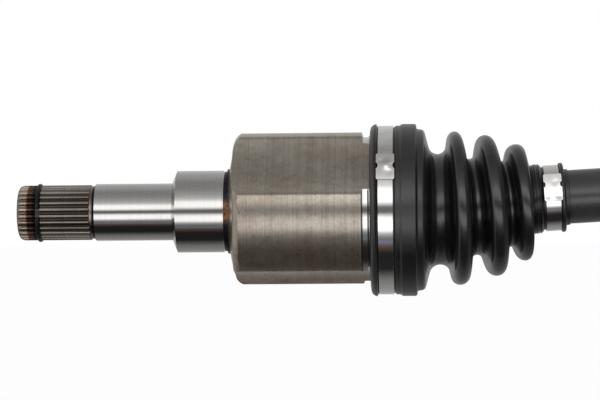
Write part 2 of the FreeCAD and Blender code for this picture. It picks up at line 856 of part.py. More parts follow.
def main():
    os.makedirs("parts", exist_ok=True)
    save("tripod_housing", on_housing(housing_solid()))
    save("stub_ring", on_housing(stub_ring()))
    save("boot_adapter", on_housing(boot_adapter()))
    save("spider", on_bar(spider()))
    for number in range(3):
        angle = first_lobe_angle + 120 * number
        save("roller_%d" % (number + 1), on_bar(to_angle(roller(), angle)))
        save("needles_%d" % (number + 1), on_bar(to_angle(needles(), angle)))
        save("roller_washer_%d" % (number + 1), on_bar(to_angle(roller_washer(), angle)))
        save("roller_clip_%d" % (number + 1), on_bar(to_angle(roller_clip(), angle)))
    half = spider_width / 2
    save("spider_clip", on_bar(bar_clip(-half - running - bar_clip_thickness)))
    save("spider_stop_ring", on_bar(bar_clip(half + running)))
    save("drive_bar", on_bar(bar_solid()))

    inboard = boot_solid(bend, inboard_folds, boot_rim_at, inboard_cuff_length, adapter_r, 1)
    save("inboard_boot", on_housing(to_angle(inboard, first_lobe_angle)))
    large_band_at = boot_rim_at + rim_length + band_play
    save("inboard_large_clamp", on_housing(clamp(boot_band_r, large_band_at, lock_angle)))
    small_band_at = small_cuff_at + small_band_from + band_play
    save("inboard_small_clamp", on_bar(clamp(bar_band_r, small_band_at, small_lock_angle)))

    save("inner_race", at_ball_joint(inner_race()))
    save("race_clip", at_ball_joint(race_clip()))
    save("cage", at_ball_joint(cage()))
    for number, angle in enumerate(ball_angles()):
        save("ball_%d" % (number + 1), at_ball_joint(ball(angle)))
    save("outboard_bell", at_ball_joint(bell()))
    outboard = boot_solid(straight, outboard_folds, outboard_rim_at, outboard_cuff_length, bell_seat_r, -1)
    save("outboard_boot", on_bar(outboard))
    large_band_at = outboard_rim_at - rim_length - band_play - clamp_width
    save("outboard_large_clamp", on_bar(clamp(bell_band_r, large_band_at, lock_angle)))
    small_band_at = outboard_small_cuff_at - small_band_from - band_play - clamp_width
    save("outboard_small_clamp", on_bar(clamp(bar_band_r, small_band_at, small_lock_angle)))


main()
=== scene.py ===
"""Dresses a drive shaft: its metals, rubber boots, clamps, bar and stage."""
import math

import bmesh
import bpy
from mathutils import Matrix, Vector


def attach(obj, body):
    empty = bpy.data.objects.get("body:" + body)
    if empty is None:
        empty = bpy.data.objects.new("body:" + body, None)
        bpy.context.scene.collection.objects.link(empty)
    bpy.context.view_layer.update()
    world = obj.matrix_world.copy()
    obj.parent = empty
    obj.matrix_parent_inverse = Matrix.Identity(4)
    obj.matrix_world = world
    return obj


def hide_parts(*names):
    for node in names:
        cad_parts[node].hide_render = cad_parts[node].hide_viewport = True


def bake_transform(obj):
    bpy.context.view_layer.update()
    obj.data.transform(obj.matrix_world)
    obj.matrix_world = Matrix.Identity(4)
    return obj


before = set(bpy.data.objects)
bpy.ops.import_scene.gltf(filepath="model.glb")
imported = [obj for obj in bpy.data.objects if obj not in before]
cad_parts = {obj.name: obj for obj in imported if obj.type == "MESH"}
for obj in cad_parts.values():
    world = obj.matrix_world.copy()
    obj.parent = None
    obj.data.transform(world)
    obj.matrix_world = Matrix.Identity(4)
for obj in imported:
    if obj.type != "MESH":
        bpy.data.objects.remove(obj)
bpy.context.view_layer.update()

bl_info = {
    "name": "Drive shaft",
    "version": (1, 0, 0),
    "blender": (4, 5, 0),
    "location": "3D View > Sidebar > Drive shaft",
    "description": "Builds the visible pieces and the finishes of a drive shaft",
    "category": "Object",
}

# Lengths are in millimetres here and become metres in the meshes.
MM = 0.001
STUB_END = -23.5
JOINT_AT = 161.5
JOINT_SPACING = 330.0
FIRST_LOBE = math.radians(101.4)
REST_SWING = math.radians(3.1)
LOBE_DIRECTION = Vector((0, -math.cos(FIRST_LOBE), math.sin(FIRST_LOBE)))
SWING_AXIS = Vector((0, -math.sin(FIRST_LOBE), -math.cos(FIRST_LOBE)))
HOUSING_PLACE = Matrix.Translation((STUB_END * MM, 0, 0))
BAR_PLACE = (
    Matrix.Translation(((STUB_END + JOINT_AT) * MM, 0, 0))
    @ Matrix.Rotation(REST_SWING, 4, SWING_AXIS)
)
TURN_STEPS = 128
ROUND_STEPS = 7

# Places along the housing, from the end of the stub
SPLINE_TO = 35.6
BEARING_FROM = 38.1
GROUND_TO = 101.5
SHOULDER_FROM = 104.0
SEAT_FROM = 168.6
BORE_FROM = 127.5

# Splines, wire ring and thread
STUB_TEETH = 25
STUB_TIP_R = 13.5
HUB_TEETH = 27
HUB_TIP_R = 14.5
TOOTH_HEIGHT = 1.15
STEPS_PER_TOOTH = 24
STUB_END_BEVEL = 3.2
RING_GROOVE = (
    (9.05, STUB_TIP_R, 0.15), (9.1, 12.05, 0.3), (11.5, 12.05, 0.3), (11.55, STUB_TIP_R, 0.15),
)
RING_TURN = math.radians(22)
HUB_SPLINE_FROM = 42.0
HUB_SPLINE_TO = 92.0
THREAD_FROM = 95.0
THREAD_TO = 119.0
THREAD_R = 11.0
THREAD_RELIEF_R = 9.5
CENTRE_HOLE = ((8.1, 0.0), (7.0, 1.15), (3.9, 1.15), (0.0, 3.25))

# Boots and clamps
BELLOWS_FROM = 198.2
SMALL_CUFF_FROM = 254.0
ADAPTER_R = 38.25
BAR_R = 13.15
CLAMP_BAND = 0.7
LOCK_HEIGHT = 1.15
LOCK_LENGTH = 13.2
LOCK_WIDTH = 8.7
NOTCH_R = 1.4


# Shapes

def rounded(corners):
    """Closed outline through corners of (length, radius, reach), each rounded over its reach."""
    points = []
    count = len(corners)
    for number, (x, r, reach) in enumerate(corners):
        here = Vector((x, r))
        if not reach:
            points.append(here)
            continue
        before = Vector(corners[number - 1][:2]) - here
        after = Vector(corners[(number + 1) % count][:2]) - here
        weight = math.sin(before.angle(after) / 2)
        start = here + before.normalized() * reach
        end = here + after.normalized() * reach
        for step in range(ROUND_STEPS + 1):
            t = step / ROUND_STEPS
            shares = ((1 - t) ** 2, 2 * weight * t * (1 - t), t ** 2)
            point = (start * shares[0] + here * shares[1] + end * shares[2]) / sum(shares)
            points.append(point)
    return points


def spun(outline, steps=TURN_STEPS):
    """Shell turned about the X axis from a closed outline, in metres."""
    bm = bmesh.new()
    verts = [bm.verts.new((x * MM, 0, r * MM)) for x, r in outline]
    for here, there in zip(verts, verts[1:] + verts[:1]):
        bm.edges.new((here, there))
    bmesh.ops.spin(
        bm, geom=verts + list(bm.edges), cent=(0, 0, 0), axis=(1, 0, 0), dvec=(0, 0, 0),
        angle=2 * math.pi, steps=steps, use_merge=True, use_duplicate=False,
    )
    bmesh.ops.remove_doubles(bm, verts=bm.verts, dist=1e-7)
    bmesh.ops.recalc_face_normals(bm, faces=bm.faces)
    return bm


def finish_mesh(bm, name, material, sharp=35.0):
    """Makes a piece from a bmesh, smooth apart from its sharp edges."""
    for face in bm.faces:
        face.smooth = True
    for edge in bm.edges:
        edge.smooth = edge.calc_face_angle(0.0) < math.radians(sharp)
    mesh = bpy.data.meshes.new(name)
    bm.to_mesh(mesh)
    bm.free()
    piece = bpy.data.objects.new(name, mesh)
    bpy.context.scene.collection.objects.link(piece)
    mesh.materials.append(bpy.data.materials[material])
    return piece


def merged_copy(node):
    """A CAD node's shape with its loose triangles joined."""
    bm = bmesh.new()
    bm.from_mesh(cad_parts[node].data)
    bm.transform(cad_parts[node].matrix_world)
    bmesh.ops.remove_doubles(bm, verts=bm.verts, dist=2e-6)
    return bm


def limit_radius(bm, radius_at):
    """Moves each point in to the radius allowed at its length and turn about the X axis."""
    for vert in bm.verts:
        radius = math.hypot(vert.co.y, vert.co.z) / MM
        if radius > 1.0:
            turn = math.atan2(vert.co.z, vert.co.y) / (2 * math.pi)
            vert.co.yz *= min(radius, radius_at(vert.co.x / MM, turn, radius)) / radius


def tooth_radius(tip_r, teeth):
    """Radius of a spline with rounded teeth, with a gap at the front."""
    def radius_at(length, turn, radius):
        across = abs((turn * teeth + 0.5) % 1.0 - 0.5)
        share = min(max((across - 0.17) / 0.19, 0.0), 1.0)
        crown = 0.15 * min(across / 0.2, 1.0) ** 2
        return tip_r - crown - (TOOTH_HEIGHT - 0.15) * share * share * (3 - 2 * share)
    return radius_at


# Where the bent boot's middle line is: distance along the boot, length along the housing's
# axis, rise, and how its rings lean and turn there, in degrees.
BOOT_LINE = (
    (188.2, 188.2, 0.0, 0.0, 0.0),
    (198.2, 198.2, 0.0, 0.0, 0.0),
    (206.0, 206.0, 0.2, 1.0, 1.5),
    (214.8, 214.8, 0.7, 3.0, 3.7),
    (222.5, 222.4, 1.25, 5.0, 4.8),
    (231.3, 231.2, 1.9, 6.0, 4.4),
    (238.8, 238.6, 2.6, 6.4, 4.7),
    (245.6, 245.5, 3.3, 6.6, 4.3),
    (
        SMALL_CUFF_FROM,
        JOINT_AT + (SMALL_CUFF_FROM - JOINT_AT) * math.cos(REST_SWING),
        (SMALL_CUFF_FROM - JOINT_AT) * math.sin(REST_SWING),
        math.degrees(REST_SWING),
        0.0,
    ),
    (264.0, 264.0, 5.5, 3.1, 0.0),
)


def line_at(distance):
    """The boot's middle line and the turn of its rings at a distance, by a smooth curve."""
    number = 1
    while number < len(BOOT_LINE) - 3 and distance > BOOT_LINE[number + 1][0]:
        number += 1
    before, first, second, after = BOOT_LINE[number - 1:number + 3]
    reach = second[0] - first[0]
    t = (distance - first[0]) / reach
    values = []
    for item in range(1, 5):
        slope_in = (second[item] - before[item]) / (second[0] - before[0]) * reach
        slope_out = (after[item] - first[item]) / (after[0] - first[0]) * reach
        values.append(
            (2 * t ** 3 - 3 * t ** 2 + 1) * first[item] + (t ** 3 - 2 * t ** 2 + t) * slope_in
            + (3 * t ** 2 - 2 * t ** 3) * second[item] + (t ** 3 - t ** 2) * slope_out
        )
    along, rise, lean, yaw = values
    middle = Vector((along * MM, 0, 0)) + LOBE_DIRECTION * rise * MM
    turn = (
        Matrix.Rotation(math.radians(lean), 3, SWING_AXIS)
        @ Matrix.Rotation(math.radians(yaw), 3, LOBE_DIRECTION)
    )
    return middle, turn


def bend_point(point):
    """Moves a point of the straight inboard boot on to its bent middle line."""
    distance = point.x / MM
    if distance <= BELLOWS_FROM:
        return HOUSING_PLACE @ point
    if distance >= SMALL_CUFF_FROM:
        return BAR_PLACE @ (point - Vector((JOINT_AT * MM, 0, 0)))
    middle, turn = line_at(distance)
    return HOUSING_PLACE @ (middle + turn @ Vector((0, point.y, point.z)))


def cut_off(bm, distance, side):
    """Takes away all that is past a distance along X, on the side given, and closes the cut."""
    cut = bmesh.ops.bisect_plane(
        bm, geom=list(bm.verts) + list(bm.edges) + list(bm.faces), dist=1e-8,
        plane_co=(distance * MM, 0, 0), plane_no=(side, 0, 0), clear_outer=True,
    )
    rim = [item for item in cut["geom_cut"] if isinstance(item, bmesh.types.BMEdge)]
    bmesh.ops.holes_fill(bm, edges=rim)


def boot_outline(large, folds, small, bore_large, bore_small, wall, direction):
    """Closed outline of a boot: its outside from the large end, and its inside back again."""
    outer = list(large)
    inner = []
    for place, radius, half, is_crest in folds:
        thick = -wall if is_crest else wall
        for side in (-1, 1):
            outer.append((place + side * half, radius, half))
            inside = half + thick
            inner.append((place + side * inside, radius - wall, inside))
    outer += small
    inner = bore_large + inner + bore_small
    return [(x * direction, r, reach) for x, r, reach in outer + inner[::-1]]


def split_boot(bm, name, seams, bellows, place):
    """Cuts a boot square to its middle line into lengths.
    The parts keep the whole boot's surface normals, so the seams don't show. What is past
    either end of the bellows is cuff."""
    bm.normal_update()
    normals = bm.verts.layers.float_vector.new("whole_normal")
    for vert in bm.verts:
        vert[normals] = vert.normal
    parts = []
    for number in range(len(seams) - 1):
        part = bm.copy()
        layer = part.verts.layers.float_vector["whole_normal"]
        for seam, outwards in ((seams[number], -1), (seams[number + 1], 1)):
            cut = bmesh.ops.bisect_plane(
                part, geom=list(part.verts) + list(part.edges) + list(part.faces), dist=1e-8,
                plane_co=(seam * MM, 0, 0), plane_no=(outwards, 0, 0), clear_outer=True,
            )
            rim = [item for item in cut["geom_cut"] if isinstance(item, bmesh.types.BMEdge)]
            if rim:
                bmesh.ops.bridge_loops(part, edges=rim)
        # A wall's loops take the whole boot's normal and a cut's flat ring its own.
        part.normal_update()
        flat = [abs(face.normal.x) > 0.999 for face in part.faces]
        for face in part.faces:
            if not bellows[0] < face.calc_center_median().x / MM < bellows[1]:
                face.material_index = 1
        whole = [vert[layer].copy() for vert in part.verts]
        part.verts.index_update()
        source = [vert.co.copy() for vert in part.verts]
        for vert in part.verts:
            vert.co = place(vert.co)
        part.normal_update()
        small = 1e-5
        bent = []
        for point, normal in zip(source, whole):
            if normal.length < 0.5:
                bent.append(Vector((1, 0, 0)))
                continue
            bent.append((place(point + normal * small) - place(point)).normalized())
        loops = []
        for face, is_flat in zip(part.faces, flat):
            for loop in face.loops:
                loops.append(face.normal.copy() if is_flat else bent[loop.vert.index])
        piece = finish_mesh(part, "%s_%d" % (name, number + 1), "bellows_rubber", 60)
        piece.data.materials.append(bpy.data.materials["cuff_rubber"])
        piece.data.normals_split_custom_set(loops)
        parts.append(piece)
    bm.free()
    return parts


LARGE_LOCK = {
    "at": 30.0, "bend": 55.0, "tilt": 0.09, "notch": 0.4,
    "dents": ((0.6, 0.15, 2.0, -0.5), (2.6, -0.5, 1.2, 0.12), (-2.8, 0.5, 1.4, 0.10)),
}
SMALL_LOCK = {
    "at": 18.0, "bend": 90.0, "tilt": 0.05, "notch": 1.4,
    "dents": ((-4.2, -0.6, 1.7, 0.22), (-4.0, 0.6, 2.0, 0.35), (2.5, 0.3, 1.6, 0.08)),
}


def clamp_mesh(band_r, start, band_width, lock_shape):
    """Steel band with its lock: a wider plate with a notch on each side and the dents, or a
    raised spot, that the tool left. A tilted plate stands off more at its upper end."""
    lock_at = math.radians(lock_shape["at"])
    lock_bend = lock_shape["bend"]
    inner = band_r + 0.05
    outer = inner + CLAMP_BAND
    bm = spun(rounded([
        (start, inner, 0.1), (start, outer, 0.2),
        (start + band_width, outer, 0.2), (start + band_width, inner, 0.1),
    ]))
    middle = start + band_width / 2
    away = Vector((0, -math.cos(lock_at), math.sin(lock_at)))
    round_it = Vector((0, math.sin(lock_at), math.cos(lock_at)))
    lock = bmesh.new()
    bmesh.ops.create_grid(lock, x_segments=80, y_segments=36, size=1.0)
    for vert in lock.verts:
        reach = vert.co.x * LOCK_LENGTH / 2
        side = vert.co.y
        width = LOCK_WIDTH / 2
        notch = reach - lock_shape["notch"]
        if abs(notch) < NOTCH_R:
            width -= math.sqrt(NOTCH_R ** 2 - notch ** 2) * 0.6
        width -= max(abs(vert.co.x) - 0.92, 0.0) * 5
        height = LOCK_HEIGHT * 0.6 + lock_shape["tilt"] * (reach + LOCK_LENGTH * 0.35)
        for at_reach, at_side, size, depth in lock_shape["dents"]:
            across = (side - at_side) * LOCK_WIDTH / 2
            height -= depth * math.exp(-((reach - at_reach) ** 2 + across ** 2) / size ** 2)
        angle = reach / lock_bend
        radius = lock_bend + height
        place = away * (outer - lock_bend + radius * math.cos(angle))
        place += round_it * radius * math.sin(angle)
        vert.co = (Vector((middle + side * width, 0, 0)) + place) * MM
    bmesh.ops.recalc_face_normals(lock, faces=lock.faces)
    if sum((face.normal for face in lock.faces), Vector()).dot(away) < 0:
        bmesh.ops.reverse_faces(lock, faces=lock.faces)
    bmesh.ops.solidify(lock, geom=list(lock.faces), thickness=LOCK_HEIGHT * 0.5 * MM)
    mesh = bpy.data.meshes.new("lock")
    lock.to_mesh(mesh)
    lock.free()
    bm.from_mesh(mesh)
    bpy.data.meshes.remove(mesh)
    return bm


# Materials

class Nodes:
    """Short way to add and join the nodes of one tree."""

    def __init__(self, tree):
        self.tree = tree

    def add(self, kind, **inputs):
        node = self.tree.nodes.new(kind)
        for key, value in inputs.items():
            by_number = key[0] == "i" and key[1:].isdigit()
            socket = node.inputs[int(key[1:]) if by_number else key.replace("_", " ")]
            if isinstance(value, bpy.types.NodeSocket):
                self.tree.links.new(value, socket)
            else:
                socket.default_value = value
        return node

    def join(self, value, socket):
        self.tree.links.new(value, socket)

    def maths(self, operation, first, second=0.0):
        node = self.add("ShaderNodeMath", i0=first, i1=second)
        node.operation = operation
        return node.outputs[0]

    def ramp(self, factor, stops):
        node = self.add("ShaderNodeValToRGB", Fac=factor)
        elements = node.color_ramp.elements
        elements.remove(elements[1])
        elements[0].position = stops[0][0]
        for place, value in stops:
            element = elements[0] if place == stops[0][0] else elements.new(place)
            colour = value if isinstance(value, tuple) else (value, value, value)
            element.color = (*colour, 1.0)
        return node.outputs["Color"]

    def mix(self, factor, first, second, blend="MIX"):
        node = self.tree.nodes.new("ShaderNodeMix")
        node.data_type = "RGBA"
        node.blend_type = blend
        for number, value in ((0, factor), (6, first), (7, second)):
            socket = node.inputs[number]
            if isinstance(value, bpy.types.NodeSocket):
                self.tree.links.new(value, socket)
            elif isinstance(value, tuple):
                socket.default_value = (*value, 1.0)
            else:
                socket.default_value = value
        return node.outputs[2]

    def span(self, value, low, high, to_low=0.0, to_high=1.0):
        node = self.add(
            "ShaderNodeMapRange", Value=value, From_Min=low, From_Max=high, To_Min=to_low, To_Max=to_high
        )
        return node.outputs[0]

    def place(self):
        return self.add("ShaderNodeTexCoord").outputs["Object"]

    def noise(self, vector, scale, detail=3.0, roughness=0.5):
        node = self.add(
            "ShaderNodeTexNoise", Vector=vector, Scale=scale, Detail=detail, Roughness=roughness
        )
        return node.outputs["Fac"]

    def line_noise(self, value, scale, detail):
        node = self.tree.nodes.new("ShaderNodeTexNoise")
        node.noise_dimensions = "1D"
        self.tree.links.new(value, node.inputs["W"])
        if isinstance(scale, bpy.types.NodeSocket):
            self.tree.links.new(scale, node.inputs["Scale"])
        else:
            node.inputs["Scale"].default_value = scale
        node.inputs["Detail"].default_value = detail
        return node.outputs["Fac"]

    def stretched(self, vector, scale):
        return self.add("ShaderNodeMapping", Vector=vector, Scale=scale).outputs["Vector"]


def new_group(name, inputs, outputs):
    """Node group with number inputs and outputs of the kinds given."""
    group = bpy.data.node_groups.new(name, "ShaderNodeTree")
    for label, default in inputs:
        socket = group.interface.new_socket(label, in_out="INPUT", socket_type="NodeSocketFloat")
        socket.default_value = default
    for label, kind in outputs:
        group.interface.new_socket(label, in_out="OUTPUT", socket_type=kind)
    nodes = Nodes(group)
    return group, nodes, nodes.add("NodeGroupInput"), nodes.add("NodeGroupOutput")


def turning_group():
    """Fine lines left by a tool that goes round the X axis."""
    group, nodes, given, result = new_group(
        "turning lines",
        [("Spacing", 2500.0), ("Patch Scale", 90.0)],
        [("Height", "NodeSocketFloat"), ("Streaks", "NodeSocketFloat")],
    )
    place = nodes.place()
    along = nodes.add("ShaderNodeSeparateXYZ", Vector=place).outputs["X"]
    coarse_spacing = nodes.maths("MULTIPLY", given.outputs["Spacing"], 0.22)
    fine = nodes.line_noise(along, given.outputs["Spacing"], 2.0)
    coarse = nodes.line_noise(along, coarse_spacing, 3.0)
    patches = nodes.noise(place, given.outputs["Patch Scale"], 3.0)
    lines = nodes.maths("ADD", nodes.maths("MULTIPLY", fine, 0.5), nodes.maths("MULTIPLY", coarse, 0.5))
    height = nodes.maths("MULTIPLY", lines, nodes.span(patches, 0.3, 0.65, 0.5, 1.0))
    group.links.new(height, result.inputs["Height"])
    group.links.new(nodes.span(lines, 0.38, 0.62), result.inputs["Streaks"])
    return group


def patina_group():
    """Thin brown film and specks of rust on bare steel."""
    group, nodes, given, result = new_group(
        "patina",
        [("Cloud Scale", 60.0), ("Speck Scale", 900.0), ("Speck Share", 0.3)],
        [("Film", "NodeSocketFloat"), ("Specks", "NodeSocketFloat")],
    )
    place = nodes.place()
    cloud = nodes.noise(nodes.stretched(place, (0.45, 1.0, 1.0)), given.outputs["Cloud Scale"], 5.0, 0.6)
    dots = nodes.noise(place, given.outputs["Speck Scale"], 2.0, 0.6)
    where = nodes.span(nodes.noise(place, 45.0, 3.0), 0.5, 0.62)
    low = nodes.maths("SUBTRACT", 0.78, nodes.maths("MULTIPLY", given.outputs["Speck Share"], 0.4))
    specks = nodes.maths("GREATER_THAN", dots, low)
    group.links.new(nodes.span(cloud, 0.35, 0.7), result.inputs["Film"])
    group.links.new(nodes.maths("MULTIPLY", specks, where), result.inputs["Specks"])
    return group


def rubber_group():
    """Moulded rubber skin: fine grain, dull bloom and small scuffs."""
    group, nodes, given, result = new_group(
        "rubber skin",
        [("Grain Scale", 2600.0), ("Bloom Scale", 120.0)],
        [("Height", "NodeSocketFloat"), ("Bloom", "NodeSocketFloat"), ("Scuffs", "NodeSocketFloat")],
    )
    place = nodes.place()
    grain = nodes.noise(place, given.outputs["Grain Scale"], 2.0)
    soft = nodes.noise(place, 170.0, 3.0)
    bloom = nodes.noise(nodes.stretched(place, (0.35, 1.0, 1.0)), given.outputs["Bloom Scale"], 4.0, 0.65)
    scuffs = nodes.noise(nodes.stretched(place, (3.0, 0.6, 0.6)), 420.0, 4.0, 0.7)
    height = nodes.maths("ADD", nodes.maths("MULTIPLY", grain, 0.35), nodes.maths("MULTIPLY", soft, 0.65))
    group.links.new(height, result.inputs["Height"])
    group.links.new(nodes.span(bloom, 0.35, 0.7), result.inputs["Bloom"])
    group.links.new(nodes.span(scuffs, 0.6, 0.75), result.inputs["Scuffs"])
    return group


def new_material(name, metallic=0.0, specular=0.5):
    """Material with its node tree and its surface shader."""
    material = bpy.data.materials.new(name)
    material.use_nodes = True
    tree = material.node_tree
    surface = tree.nodes["Principled BSDF"]
    surface.inputs["Metallic"].default_value = metallic
    surface.inputs["Specular IOR Level"].default_value = specular
    return material, Nodes(tree), surface


def placed_group(nodes, group, **values):
    """Puts a node group into a material with its own values, and gives its outputs."""
    node = nodes.tree.nodes.new("ShaderNodeGroup")
    node.node_tree = bpy.data.node_groups[group]
    for key, value in values.items():
        node.inputs[key.replace("_", " ")].default_value = value
    return node.outputs


def set_bump(nodes, surface, height, distance):
    """Joins a height to a surface's normal through a bump of a depth in metres."""
    bump = nodes.add("ShaderNodeBump", Height=height, Distance=distance, Strength=1.0)
    nodes.join(bump.outputs["Normal"], surface.inputs["Normal"])


def steel(
    name, bright, dull, rough, rough_spread, line_depth,
    film=0.3, spacing=2500.0, specks=0.0, metallic=1.0, streaks=0.12,
):
    """Bare steel between a bright and a dull colour, with tool lines and a brown film."""
    material, nodes, surface = new_material(name, metallic)
    lines = placed_group(nodes, "turning lines", Spacing=spacing)
    patina = placed_group(nodes, "patina", Speck_Share=specks)
    shade = nodes.maths("MULTIPLY", patina["Film"], film)
    colour = nodes.mix(shade, bright, dull)
    streak = nodes.span(lines["Streaks"], 0.0, 1.0, 1.0 - streaks, 1.0)
    colour = nodes.mix(1.0, colour, streak, "MULTIPLY")
    if specks:
        colour = nodes.mix(nodes.maths("MULTIPLY", patina["Specks"], 0.6), colour, (0.10, 0.065, 0.045))
    nodes.join(colour, surface.inputs["Base Color"])
    roughness = nodes.span(patina["Film"], 0.0, 1.0, rough, rough + rough_spread)
    nodes.join(roughness, surface.inputs["Roughness"])
    set_bump(nodes, surface, lines["Height"], line_depth)
    return material, nodes, surface


def make_materials(settings):
    """Makes every finish, after the node groups that they share."""
    turning_group()
    patina_group()
    rubber_group()

    steel(
        "ground_steel", (0.60, 0.59, 0.575), (0.47, 0.44, 0.41), 0.11, 0.04, 0.000001, 0.35, 3200.0,
        streaks=0.05,
    )
    steel(
        "polished_steel", (0.72, 0.71, 0.69), (0.55, 0.52, 0.48), 0.10, 0.06, 0.000002, 0.3, 2600.0,
        streaks=0.08,
    )
    steel("bearing_steel", (0.62, 0.62, 0.62), (0.5, 0.5, 0.5), 0.16, 0.05, 0.000001, 0.2, 2600.0)
    steel("forged_steel", (0.30, 0.275, 0.25), (0.16, 0.13, 0.105), 0.38, 0.12, 0.00001, 0.9, 1200.0, 0.25)

    # Turned housing: tool lines and specks under blotches of brown film, and painted shade that makes it
    # darker and browner towards the bottom
    bright = tuple(settings.steel_colour)
    material, nodes, surface = steel(
        "housing_steel", bright, (0.29, 0.235, 0.18), 0.22, 0.08, 0.000002, 0.7, 1000.0, 0.3,
        metallic=0.86, streaks=0.17,
    )
    place = nodes.place()
    blotches = nodes.span(nodes.noise(place, 210.0, 3.0, 0.6), 0.50, 0.68)
    grain = nodes.noise(nodes.stretched(place, (1.0, 0.5, 0.5)), 1300.0, 1.0)
    grain = nodes.span(grain, 0.3, 0.7, 0.90, 1.04)
    # Painted shade: the lower part of the housing is darkened and browned by its height
    height = nodes.add("ShaderNodeSeparateXYZ", Vector=place).outputs["Z"]
    below = nodes.span(height, 0.0, -0.026)
    blotches = nodes.maths("MULTIPLY", blotches, 0.35)
    film_and_painted_shade = nodes.maths("ADD", blotches, nodes.maths("MULTIPLY", below, 0.55))
    base = surface.inputs["Base Color"].links[0].from_socket
    base = nodes.mix(1.0, base, grain, "MULTIPLY")
    brown = nodes.mix(film_and_painted_shade, base, (0.66, 0.54, 0.42), "MULTIPLY")
    nodes.join(brown, surface.inputs["Base Color"])

    # Splines: worn crests over roots darkened as painted shade. The stub's has a pale end, a painted
    # shadow beside its wire ring, a pale neck, and past the neck a cone painted dark as painted shade.
    # From 5.4 to 9.0 mm a dark band beside the wire ring is painted shade; from 36.9 mm on the cone is
    # painted dark as painted shade
    zones = (
        (0.0, (0.56, 0.48, 0.41)), (4.4, (0.54, 0.45, 0.38)), (5.4, (0.14, 0.075, 0.05)),
        (7.4, (0.12, 0.06, 0.045)), (7.9, (0.03, 0.03, 0.032)), (9.0, (0.02, 0.02, 0.022)),
        (9.2, (0.36, 0.29, 0.27)), (11.4, (0.34, 0.27, 0.25)), (11.8, (0.31, 0.28, 0.25)),
        (35.3, (0.29, 0.25, 0.225)), (35.6, (0.36, 0.29, 0.26)), (36.6, (0.34, 0.27, 0.24)),
        (36.9, (0.05, 0.04, 0.035)),
    )
    reach = 40.0
    plain = ((0.0, (0.34, 0.32, 0.30)), (reach, (0.34, 0.32, 0.30)))
    for name, places in (("spline_steel", zones), ("hub_spline_steel", plain)):
        material, nodes, surface = steel(
            name, (1.0, 1.0, 1.0), (0.62, 0.54, 0.47), 0.24, 0.14, 0.000006, 0.8, 900.0, 0.3
        )
        place = nodes.add("ShaderNodeSeparateXYZ", Vector=nodes.place())
        along = nodes.span(place.outputs["X"], STUB_END * MM, (STUB_END + reach) * MM)
        colour = nodes.ramp(along, [(at / reach, shade) for at, shade in places])
        base = surface.inputs["Base Color"].links[0].from_socket
        colour = nodes.mix(1.0, base, colour, "MULTIPLY")
        if name == "spline_steel":
            across = nodes.add("ShaderNodeCombineXYZ", Y=place.outputs["Y"], Z=place.outputs["Z"])
            radius = nodes.add("ShaderNodeVectorMath", i0=across.outputs[0])
            radius.operation = "LENGTH"
            # Painted shade: the roots between the teeth are darkened by their radius
            root = (STUB_TIP_R - 1.1) * MM
            crest = (STUB_TIP_R - 0.35) * MM
            depth = nodes.span(radius.outputs["Value"], root, crest, 0.22, 1.0)
            pale_end = nodes.span(along, 5.2 / reach, 4.4 / reach, 0.0, 0.4)
            neck = nodes.maths("GREATER_THAN", along, SPLINE_TO / reach)
            depth = nodes.maths("MAXIMUM", depth, nodes.maths("MAXIMUM", pale_end, neck))
            colour = nodes.mix(1.0, colour, depth, "MULTIPLY")
        nodes.join(colour, surface.inputs["Base Color"])

    # Groove beside the housing: blued almost black, with rust at the front
    material, nodes, surface = new_material("rusty_steel", 0.85)
    patina = placed_group(nodes, "patina", Cloud_Scale=260.0)
    place = nodes.place()
    height = nodes.add("ShaderNodeSeparateXYZ", Vector=place).outputs["Z"]
    near = nodes.span(nodes.maths("ABSOLUTE", height), 0.0062, 0.0030)
    rust = nodes.maths("MULTIPLY", near, nodes.span(nodes.noise(place, 700.0, 3.0), 0.35, 0.5))
    dark = nodes.mix(patina["Film"], (0.020, 0.022, 0.028), (0.036, 0.034, 0.036))
    nodes.join(nodes.mix(rust, dark, (0.22, 0.095, 0.045)), surface.inputs["Base Color"])
    nodes.join(nodes.span(patina["Film"], 0.0, 1.0, 0.3, 0.45), surface.inputs["Roughness"])

    # Clamp: thin bright stainless strip with light scratches
    material, nodes, surface = new_material("band_steel", 1.0)
    patina = placed_group(nodes, "patina", Cloud_Scale=220.0)
    scratches = nodes.noise(nodes.stretched(nodes.place(), (9.0, 1.0, 1.0)), 500.0, 4.0, 0.6)
    colour = nodes.mix(patina["Film"], (0.80, 0.79, 0.78), (0.70, 0.68, 0.66))
    nodes.join(colour, surface.inputs["Base Color"])
    nodes.join(nodes.span(scratches, 0.3, 0.7, 0.08, 0.13), surface.inputs["Roughness"])
    set_bump(nodes, surface, scratches, 0.0000008)

    # Round-wire ring, blued almost black
    material, nodes, surface = new_material("ring_steel", 0.8)
    patina = placed_group(nodes, "patina", Cloud_Scale=300.0)
    colour = nodes.mix(patina["Film"], (0.012, 0.013, 0.015), (0.03, 0.028, 0.026))
    nodes.join(colour, surface.inputs["Base Color"])
    nodes.join(nodes.span(patina["Film"], 0.0, 1.0, 0.35, 0.5), surface.inputs["Roughness"])

    # Satin black paint on the bar, a little uneven
    material, nodes, surface = new_material("black_paint", 0.0, 0.75)
    skin = placed_group(nodes, "rubber skin", Grain_Scale=1500.0)
    paint = tuple(settings.paint_colour)
    dusty = tuple(channel + 0.009 for channel in paint)
    colour = nodes.mix(skin["Bloom"], paint, dusty)
    nodes.join(colour, surface.inputs["Base Color"])
    nodes.join(nodes.span(skin["Bloom"], 0.0, 1.0, 0.25, 0.33), surface.inputs["Roughness"])
    set_bump(nodes, surface, skin["Height"], 0.000012)

